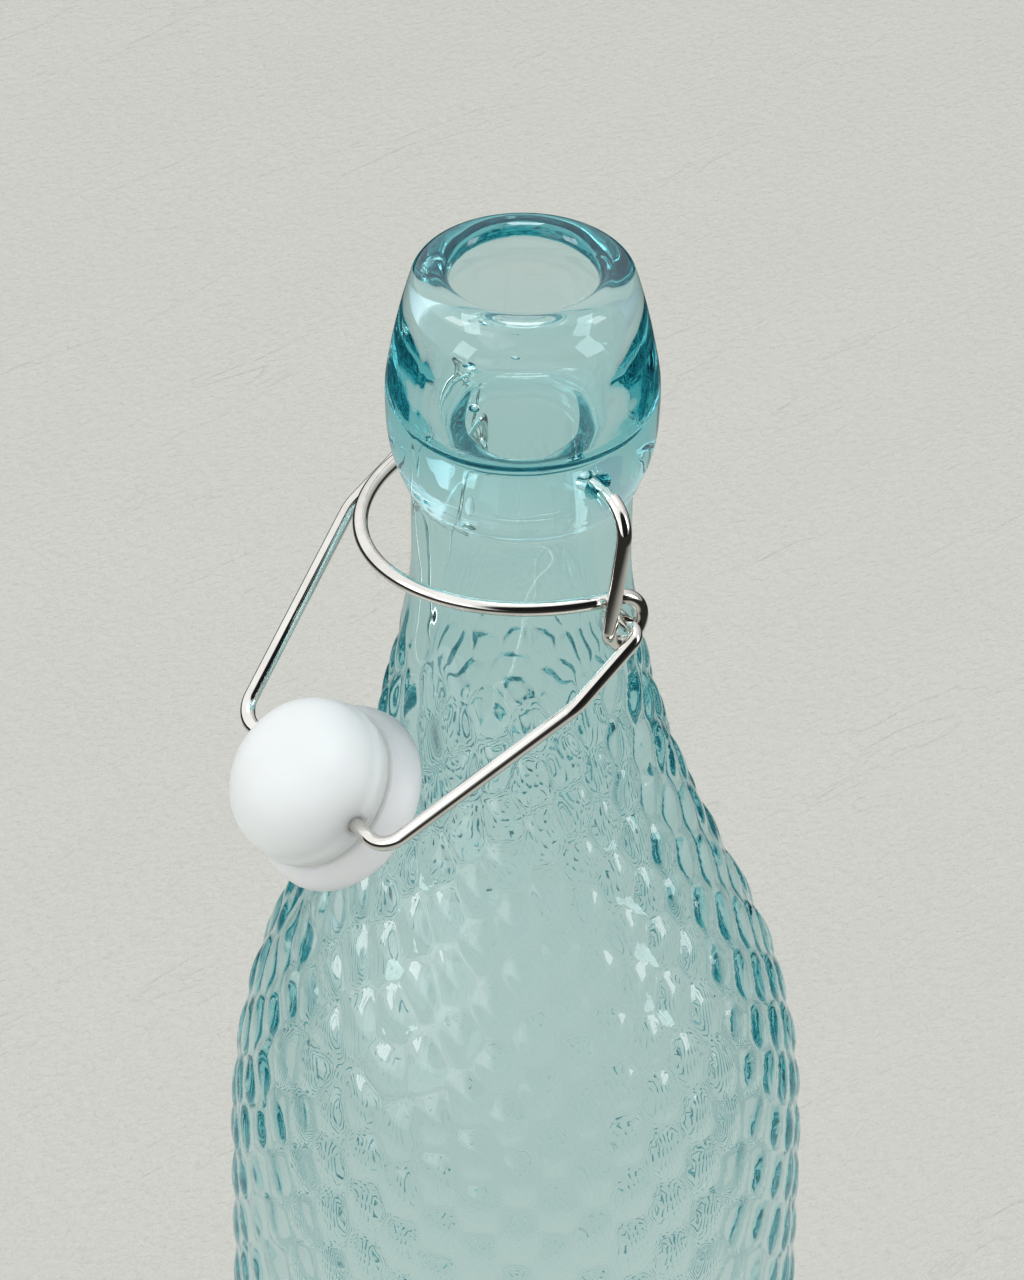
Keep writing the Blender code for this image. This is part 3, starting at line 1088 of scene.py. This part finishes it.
    def parting_ring(self, point: np.ndarray) -> float:
        """How far the wandering ring at the finish's foot stands out.

        Args:
            point: The place to look at.

        Returns:
            The ring's height there.
        """
        off = point[2] - self.height + self.finish_foot_depth
        if abs(off) >= self.ring_reach * self.ring_width:
            return 0.0
        off += self.ring_wander * noise.noise(Vector(point) * self.ring_wander_scale)
        return self.ring_height * math.exp(-((off / self.ring_width) ** 2))

    def raise_cells(self, piece: Piece) -> None:
        """Shapes the fine relief of the outside, and waves the inside a little.

        Args:
            piece: The turned bottle.
        """
        mesh = piece.data
        place, normal = np.zeros((2, len(mesh.vertices) * 3))
        mesh.vertices.foreach_get("co", place)
        mesh.vertices.foreach_get("normal", normal)
        place = place.reshape(-1, 3)
        normal = normal.reshape(-1, 3)
        outward = (normal[:, :2] * place[:, :2]).sum(1) > 0
        level = place[:, 2]
        near_top = np.clip((self.cells_high - level) / self.cell_fade, 0, 1)
        near_foot = np.clip((level - self.cells_low) / self.cell_fade, 0, 1)
        fade = outward * (near_top * near_foot) ** self.cell_fade_power
        move = self.sink_lines(place, fade)
        move += outward * self.seams(place)
        for index in np.nonzero(outward)[0]:
            move[index] += self.parting_ring(place[index])
        inside = ~outward & (level > self.inner_wave_foot)
        inside &= level < self.height - self.inner_wave_depth
        for index in np.nonzero(inside)[0]:
            move[index] = self.inner_wave * noise.noise(Vector(place[index]) * self.inner_wave_scale)
        place = place + normal * move[:, None]
        mesh.vertices.foreach_set("co", place.ravel())
        mesh.vertices.foreach_set("select", (fade > 0) & (level < self.cells_high))
        mesh.update()
        activate(piece)
        bpy.ops.object.mode_set(mode="EDIT")
        bpy.ops.mesh.vertices_smooth(factor=self.smoothing_factor, repeat=self.smoothing)
        bpy.ops.object.mode_set(mode="OBJECT")

    def add_bubbles(self, piece: Piece) -> None:
        """Puts the small seed bubbles into the wall of the finish and neck.

        Args:
            piece: The bottle.
        """
        bubbles = []
        for turn, level, depth, size, tall in BUBBLES:
            angle = math.radians(turn)
            radius = self.finish_radius - depth
            at = (radius * math.cos(angle), radius * math.sin(angle), level)
            bpy.ops.object.select_all(action="DESELECT")
            bpy.ops.mesh.primitive_ico_sphere_add(subdivisions=3, radius=size, location=at)
            bubble = bpy.context.active_object
            bubble.scale = (1, 1, tall)
            bpy.ops.object.transform_apply(location=True, rotation=False, scale=True)
            bpy.ops.object.mode_set(mode="EDIT")
            bpy.ops.mesh.select_all(action="SELECT")
            bpy.ops.mesh.normals_make_consistent(inside=True)
            bpy.ops.object.mode_set(mode="OBJECT")
            bpy.ops.object.shade_smooth()
            bubbles.append(bubble)
        activate(piece)
        for bubble in bubbles:
            bubble.select_set(True)
        bpy.ops.object.join()

    def socket_floor(self) -> float:
        """How far the floor of each socket is from the bottle's axis."""
        radii, levels = zip(*self.plain_outline())
        return float(np.interp(self.height - self.pivot_depth, levels, radii)) - self.socket_depth

    def cut_socket(self, piece: Piece, side: Side) -> None:
        """Cuts one socket for the lever's pin, with the flare at its mouth.

        Args:
            piece: The bottle.
            side: The side to cut.
        """
        floor = self.socket_floor()
        mouth = floor + self.socket_depth
        flare = self.flare_radius - self.socket_radius
        wide = self.flare_radius + flare * self.flare_overrun / self.flare_depth
        cuts = (
            ((self.socket_radius, self.socket_radius), floor, mouth + self.flare_overrun),
            ((self.socket_radius, wide), mouth - self.flare_depth, mouth + self.flare_overrun),
        )
        for radii, inner, outer in cuts:
            ends = [Vector((side.value * x, 0, self.height - self.pivot_depth)) for x in (inner, outer)]
            if side is Side.LEFT:
                radii, ends = radii[::-1], ends[::-1]
            cross_cut(piece, radii, *ends)

    def build(self) -> None:
        """Builds and dresses the bottle."""
        outline = [*self.textured_outline(), *self.plain_outline(), *self.inner_outline()]
        piece = turned("glass_bottle", outline, self.sides)
        self.raise_cells(piece)
        for side in Side:
            self.cut_socket(piece, side)
        self.add_bubbles(piece)
        smooth(piece, self.crease_degrees)
        finish_piece(piece, "bottle", "bottle", self.finish.material())


# The wires


@dataclass
class WireFrame:
    """The sizes that the two wires share, with both wires' lines."""

    radius: float = 0.0011
    pivot: Vector = field(default_factory=lambda: Vector((0, 0, 0.2871)))
    eye: Vector = field(default_factory=lambda: Vector((0, 0.0005, 0.2681)))
    hang: Vector = field(default_factory=HANG_POINT.copy)
    eye_offset: float = 0.0250
    eye_radius: float = 0.0032
    eye_spread: float = 0.0027
    side_clearance: float = 0.0004
    pin_end: float = 0.0138
    leg_bend: float = 0.0048
    bow_reach: float = 0.0236
    bow_half_width: float = 0.0240
    hook_length: float = 0.0036
    hook_bend: float = 0.0016
    arm_bend: float = 0.0019
    kink_spread: float = 0.0004
    kink_forward: float = 0.0107
    kink_drop: float = 0.0080
    kink_bend: float = 0.0075
    corner_offset: float = 0.0190
    corner_bend: float = 0.0045
    eye_steps: int = 80
    bow_steps: int = 40
    steel: MarkedFinish = DRAWN_STEEL

    def lever_half(self) -> list[Vector]:
        """The lever's +X half, from the pin in the glass to the middle of the bow.

        Returns:
            The points of its centre line.
        """
        leg_x = self.eye_offset + self.eye_spread / 2
        drop = self.eye - self.pivot
        lean = math.atan2(drop.y, -drop.z) - math.asin(self.eye_radius / drop.length)
        leg_length = math.sqrt(drop.length**2 - self.eye_radius**2)
        touch = self.pivot + leg_length * Vector((0, math.sin(lean), -math.cos(lean)))
        corners = [
            self.pivot + Vector((self.pin_end, 0, 0)),
            self.pivot + Vector((leg_x, 0, 0)),
            touch + Vector((leg_x, 0, 0)),
        ]
        points = rounded(corners, [self.leg_bend])
        first = math.atan2(touch.z - self.eye.z, touch.y - self.eye.y)
        last = math.pi / 2 + math.tau
        for step in range(1, self.eye_steps + 1):
            share = step / self.eye_steps
            angle = first + (last - first) * share
            side = self.eye_radius * math.cos(angle)
            rise = self.eye_radius * math.sin(angle)
            points.append(self.eye + Vector((leg_x - self.eye_spread * share, side, rise)))
        leave = points[-1]
        start = math.acos(leave.x / self.bow_half_width)
        depth = self.bow_reach / (1 - math.sin(start))
        for step in range(1, self.bow_steps + 1):
            angle = start + (math.pi / 2 - start) * step / self.bow_steps
            along = depth * (math.sin(angle) - math.sin(start))
            points.append(Vector((self.bow_half_width * math.cos(angle), leave.y - along, leave.z)))
        return points

    def bail_half(self) -> list[Vector]:
        """The bail's +X half, from its hook in the eye to the middle of the stopper.

        Returns:
            The points of its centre line.
        """
        spread = self.eye_spread / 2 + 2 * self.radius + self.side_clearance
        kink_x = self.eye_offset + spread + self.kink_spread
        corners = [
            self.eye + Vector((self.eye_offset - spread, 0, -self.hook_length)),
            self.eye + Vector((self.eye_offset - spread, 0, 0)),
            self.eye + Vector((self.eye_offset + spread, 0, 0)),
            self.eye + Vector((kink_x, -self.kink_forward, -self.kink_drop)),
            self.hang + Vector((self.corner_offset, 0, 0)),
            self.hang,
        ]
        return rounded(corners, [self.hook_bend, self.arm_bend, self.kink_bend, self.corner_bend])

    def build(self) -> None:
        """Builds and dresses the lever and the bail."""
        steel = self.steel.material()
        lever = wire("steel_lever", both_halves(self.lever_half()), self.radius)
        finish_piece(lever, "lever", "lever_wire", steel)
        bail = wire("steel_bail", both_halves(self.bail_half()), self.radius)
        finish_piece(bail, "bail", "bail_wire", steel)


# The stopper and its seal


@dataclass
class StopperHead:
    """The domed stopper with its stem and button, and the soft ring that sits on the stem."""

    hang: Vector = field(default_factory=HANG_POINT.copy)
    tilt: float = math.radians(45)
    dome_radius: float = 0.0124
    dome_height: float = 0.0090
    dome_base: float = 0.0009
    head_foot: float = -0.0026
    foot_narrowing: float = 0.0004
    edge_rounding: float = 0.0006
    step_width: float = 0.0005
    step_low: float = -0.0004
    step_high: float = 0.0014
    step_ease: float = 0.0001
    step_handle: float = 0.0009
    hole_radius: float = 0.00118
    flat_size: tuple[float, float] = (0.0034, 0.0026)
    flat_depth: float = 0.0005
    stem_radius: float = 0.0060
    button_radius: float = 0.0072
    button_height: float = 0.0022
    button_rounding: float = 0.0010
    seal_radius: float = 0.0138
    seal_neck_radius: float = 0.0128
    seal_thickness: float = 0.0056
    seal_bead: float = 0.0030
    seal_rounding: float = 0.0014
    seal_edge: float = 0.0006
    seal_inner_edge: float = 0.0002
    seal_face_share: float = 1.6
    seal_gap: float = 0.0003
    cut_overrun: float = 0.0020
    face_spacing: float = 0.0015
    wall_spacing: float = 0.0005
    sides: int = 144
    crease_degrees: float = 35.0
    plastic: MarkedFinish = WHITE_PLASTIC
    silicone: MarkedFinish = MILKY_SILICONE

    def place(self, piece: Piece) -> None:
        """Tips a piece with the stopper and carries it to the cross hole, in its mesh."""
        piece.data.transform(Matrix.Translation(self.hang) @ Matrix.Rotation(self.tilt, 4, "X"))
        piece.data.update()

    def head(self) -> Piece:
        """The stopper itself, with its hole and the square flat at each end of it.

        Returns:
            The piece, still upright at the origin.
        """
        seal_top = self.head_foot - self.seal_gap
        button_top = seal_top - self.seal_thickness - self.seal_gap
        button_foot = button_top - self.button_height
        foot_radius = self.dome_radius - self.foot_narrowing
        foot_place = (foot_radius - self.edge_rounding, self.head_foot + self.edge_rounding)
        button_place = (self.button_radius - self.button_rounding, button_foot + self.button_rounding)
        top = self.dome_base + self.dome_height
        cap_radius = self.dome_radius - self.step_width
        cap_height = top - self.step_high
        dome = [
            (radius, self.step_high + level * cap_height / cap_radius)
            for radius, level in arc((0, 0), cap_radius, 0, 90, steps=30)
        ]
        foot = arc(foot_place, self.edge_rounding, -90, 0, steps=6)
        wall_top = (self.dome_radius - self.step_ease, self.step_low)
        leave = (self.step_ease, self.step_handle)
        step = bezier(wall_top, leave, (self.step_ease, -self.step_handle), dome[0], steps=10)
        outline = [
            *resampled([(0.0, button_foot), (button_place[0], button_foot)], self.face_spacing),
            *arc(button_place, self.button_rounding, -90, 0, steps=8)[1:],
            (self.button_radius, button_top),
            (self.stem_radius, button_top),
            (self.stem_radius, self.head_foot),
            *foot,
            *resampled([foot[-1], wall_top], self.wall_spacing)[1:],
            *step,
            *dome[1:-1],
            (0.0, top),
        ]
        piece = turned("stopper_head", outline, self.sides)
        reach = Vector((self.dome_radius + self.cut_overrun, 0, 0))
        cross_cut(piece, (self.hole_radius, self.hole_radius), -reach, reach)
        for side in Side:
            self.cut_flat(piece, side)
        return piece

    def cut_flat(self, piece: Piece, side: Side) -> None:
        """Cuts the square-cornered flat that the wire comes out of.

        Args:
            piece: The stopper.
            side: The side to cut.
        """
        floor = self.dome_radius - self.flat_depth
        middle = Vector((side.value * (floor + self.cut_overrun), 0, 0))
        bpy.ops.object.select_all(action="DESELECT")
        bpy.ops.mesh.primitive_cube_add(size=1, location=middle)
        bpy.ops.transform.resize(value=(2 * self.cut_overrun, *self.flat_size))
        cut_away(piece, bpy.context.active_object)

    def ring(self) -> Piece:
        """The seal: a soft ring that flares from the stopper's foot to a rounded face.

        Returns:
            The piece, still upright at the origin.
        """
        inner = self.stem_radius + self.seal_gap
        edge = self.seal_inner_edge
        top = self.head_foot - self.seal_gap
        face = top - self.seal_thickness
        lip_place = (self.seal_radius - self.seal_rounding, face + self.seal_rounding)
        lip = arc(lip_place, self.seal_rounding, -90, 0, steps=10)
        leave = (0, self.seal_bead - self.seal_rounding)
        arrive = (self.seal_edge * 1.5, -self.seal_edge)
        end = (self.seal_neck_radius - self.seal_edge, top)
        side = bezier(lip[-1], leave, arrive, end, steps=16)
        outline = [
            (inner + edge, face),
            (self.stem_radius * self.seal_face_share, face),
            *lip,
            *side,
            (inner + edge, top),
            (inner, top - edge),
            (inner, face + edge),
            (inner + edge, face),
        ]
        return turned("silicone_seal", outline, self.sides)

    def build(self) -> None:
        """Builds and dresses the stopper and the seal."""
        for piece, node, slot, finish in (
            (self.head(), "stopper", "stopper_plastic", self.plastic),
            (self.ring(), "seal", "silicone", self.silicone),
        ):
            smooth(piece, self.crease_degrees)
            self.place(piece)
            finish_piece(piece, "stopper", node, finish.material())


# The studio


@dataclass(frozen=True)
class Softbox:
    """A plain soft lamp, placed round the bottle as the camera sees it."""

    name: str
    turn: float
    elevation: float
    distance: float
    width: float
    height: float
    power: float
    colour: Colour = (1.0, 1.0, 1.0)

    def build(self, camera_turn: float, aim: Vector) -> None:
        """Hangs the lamp and aims it.

        Args:
            camera_turn: The camera's azimuth in degrees.
            aim: The point that the lamp faces.
        """
        at = aim + around(camera_turn + self.turn, self.elevation) * self.distance
        light = bpy.data.lights.new(self.name, "AREA")
        light.shape = "RECTANGLE"
        light.size = self.width
        light.size_y = self.height
        light.energy = self.power
        light.color = self.colour
        lamp = bpy.data.objects.new(self.name, light)
        lamp.location = at
        lamp.rotation_euler = (aim - at).to_track_quat("-Z", "Y").to_euler()
        bpy.context.scene.collection.objects.link(lamp)
        log.info("lamp %s at %s", self.name, tuple(round(value, 2) for value in at))


@dataclass
class Studio:
    """The floor, the lamps, the world and the camera."""

    camera_turn: float = 56.5
    camera_drop: float = 35.4
    camera_roll: float = 0.5
    camera_distance: float = 0.898
    near_clip: float = 0.01
    focal_pixels: float = 6536.0
    image_size: tuple[int, int] = (1024, 1280)
    rim_pixel: tuple[float, float] = (524.0, 266.0)
    rim_centre: Vector = field(default_factory=lambda: Vector((0, 0, 0.3130)))
    sensor: float = 36.0
    glass_paths: int = 28
    floor_size: float = 34.0
    room_colour: Colour = (0.98, 0.99, 1.0)
    room_level: float = 0.64
    room_dark: Colour = (0.46, 0.48, 0.485)
    room_pale: Colour = (1.15, 1.16, 1.17)
    room_span: tuple[float, float] = (-0.50, 0.60)
    gloom: Colour = (0.012, 0.012, 0.013)
    gloom_turn: float = 22.0
    gloom_rise: float = 24.0
    gloom_angles: tuple[float, float] = (34.0, 46.0)
    window_turn: float = -72.0
    window_rise: float = 58.0
    floor_finish: PlasterFinish = field(default_factory=PlasterFinish)
    lamp_aim: Vector = field(default_factory=lambda: Vector((0, 0, 0.22)))
    lamps: tuple[Softbox, ...] = (
        Softbox("key_window", -70, 24, 2.8, 1.0, 1.5, 24.0, (1.0, 0.99, 0.98)),
        Softbox("front_wall", -40, 14, 3.4, 1.4, 1.2, 5.0),
        Softbox("overhead", 180, 84, 2.6, 0.8, 1.0, 22.0),
        Softbox("right_fill", 78, 22, 2.8, 0.8, 1.6, 18.0),
    )

    def build_floor(self) -> None:
        """Lays the plain floor."""
        bpy.ops.object.select_all(action="DESELECT")
        bpy.ops.mesh.primitive_plane_add(size=self.floor_size, location=(0, 0, 0))
        floor = bpy.context.active_object
        floor.name = "floor"
        floor.data.materials.append(self.floor_finish.material())

    def facing(self, way: Node, turn: float, rise: float, span: Point) -> Node:
        """How far a ray of the world looks towards a place in the room.

        Args:
            way: The world's Texture Coordinate node.
            turn: The place's turn from the camera, in degrees.
            rise: The place's rise above the floor, in degrees.
            span: The cosines of the angle to the place at which the value is 0 and 1.

        Returns:
            The node that gives the value as its Result.
        """
        towards = add_node(way.id_data, "VectorMath", operation="DOT_PRODUCT")
        towards.inputs[1].default_value = around(self.camera_turn + turn, rise)
        share = smooth_range(way.id_data, *span)
        link((way, "Generated", towards, 0), (towards, "Value", share, "Value"))
        return share

    def build_world(self) -> None:
        """Gives the room its plain level, and the walls that mirrored and clear rays see."""
        world = bpy.data.worlds.new("room")
        world.use_nodes = True
        bpy.context.scene.world = world
        tree = world.node_tree
        room = tree.nodes["Background"]
        set_values(room, Color=(*self.room_colour, 1), Strength=self.room_level)
        seen = add_node(tree, "Background", Strength=1.0)
        way = add_node(tree, "TexCoord")
        near, far = (math.cos(math.radians(angle)) for angle in self.gloom_angles)
        window = self.facing(way, self.window_turn, self.window_rise, self.room_span)
        depth = self.facing(way, self.gloom_turn, self.gloom_rise, (far, near))
        walls = colour_mix(tree, self.room_dark, self.room_pale)
        shut = colour_mix(tree, self.gloom, self.gloom)
        rays = add_node(tree, "LightPath")
        held = number(tree, "MULTIPLY")
        either = number(tree, "MAXIMUM")
        any_seen = number(tree, "MAXIMUM")
        choice = add_node(tree, "MixShader")
        link(
            (window, "Result", walls, MIX_SHARE),
            (depth, "Result", held, 0),
            (mirrored(rays), "Value", held, 1),
            (held, "Value", shut, MIX_SHARE),
            (walls, MIX_COLOUR, shut, MIX_LOW),
            (shut, MIX_COLOUR, seen, "Color"),
            (rays, "Is Camera Ray", either, 0),
            (rays, "Is Glossy Ray", either, 1),
            (either, "Value", any_seen, 0),
            (rays, "Is Transmission Ray", any_seen, 1),
            (any_seen, "Value", choice, "Fac"),
            (room, "Background", choice, 1),
            (seen, "Background", choice, 2),
            (choice, "Shader", tree.nodes["World Output"], "Surface"),
        )

    def build_camera(self) -> None:
        """Sets the camera so that the rim's centre falls on its pixel in the photograph's frame."""
        roll = math.radians(self.camera_roll)
        forward = -around(self.camera_turn, self.camera_drop)
        level = around(self.camera_turn + 90, 0)
        lift = level.cross(forward)
        right = math.cos(roll) * level + math.sin(roll) * lift
        up = -math.sin(roll) * level + math.cos(roll) * lift
        x = (self.rim_pixel[0] - self.image_size[0] / 2) / self.focal_pixels
        y = -(self.rim_pixel[1] - self.image_size[1] / 2) / self.focal_pixels
        ray = (forward + x * right + y * up).normalized()
        data = bpy.data.cameras.new("camera")
        data.sensor_fit = "VERTICAL"
        data.sensor_height = self.sensor
        data.lens = self.sensor * self.focal_pixels / self.image_size[1]
        data.clip_start = self.near_clip
        camera = bpy.data.objects.new("camera", data)
        turned_axes = Matrix((right, up, -forward)).transposed()
        at = self.rim_centre - ray * self.camera_distance
        camera.matrix_world = Matrix.Translation(at) @ turned_axes.to_4x4()
        bpy.context.scene.collection.objects.link(camera)
        bpy.context.scene.camera = camera

    def build(self) -> None:
        """Builds everything round the bottle."""
        self.build_camera()
        self.build_floor()
        self.build_world()
        for lamp in self.lamps:
            lamp.build(self.camera_turn, self.lamp_aim)
        bpy.context.scene.view_settings.view_transform = "Standard"
        paths = bpy.context.scene.cycles
        paths.max_bounces = self.glass_paths
        paths.glossy_bounces = self.glass_paths
        paths.transmission_bounces = self.glass_paths


def main() -> None:
    """Builds the studio and the pieces."""
    logging.basicConfig(level=logging.INFO, format="%(name)s: %(message)s")
    bpy.ops.object.select_all(action="DESELECT")
    Studio().build()
    bottle = GlassBottle()
    bottle.build()
    WireFrame(pin_end=bottle.socket_floor() + PIN_END_GAP).build()
    StopperHead().build()


if __name__ == "__main__":
    main()
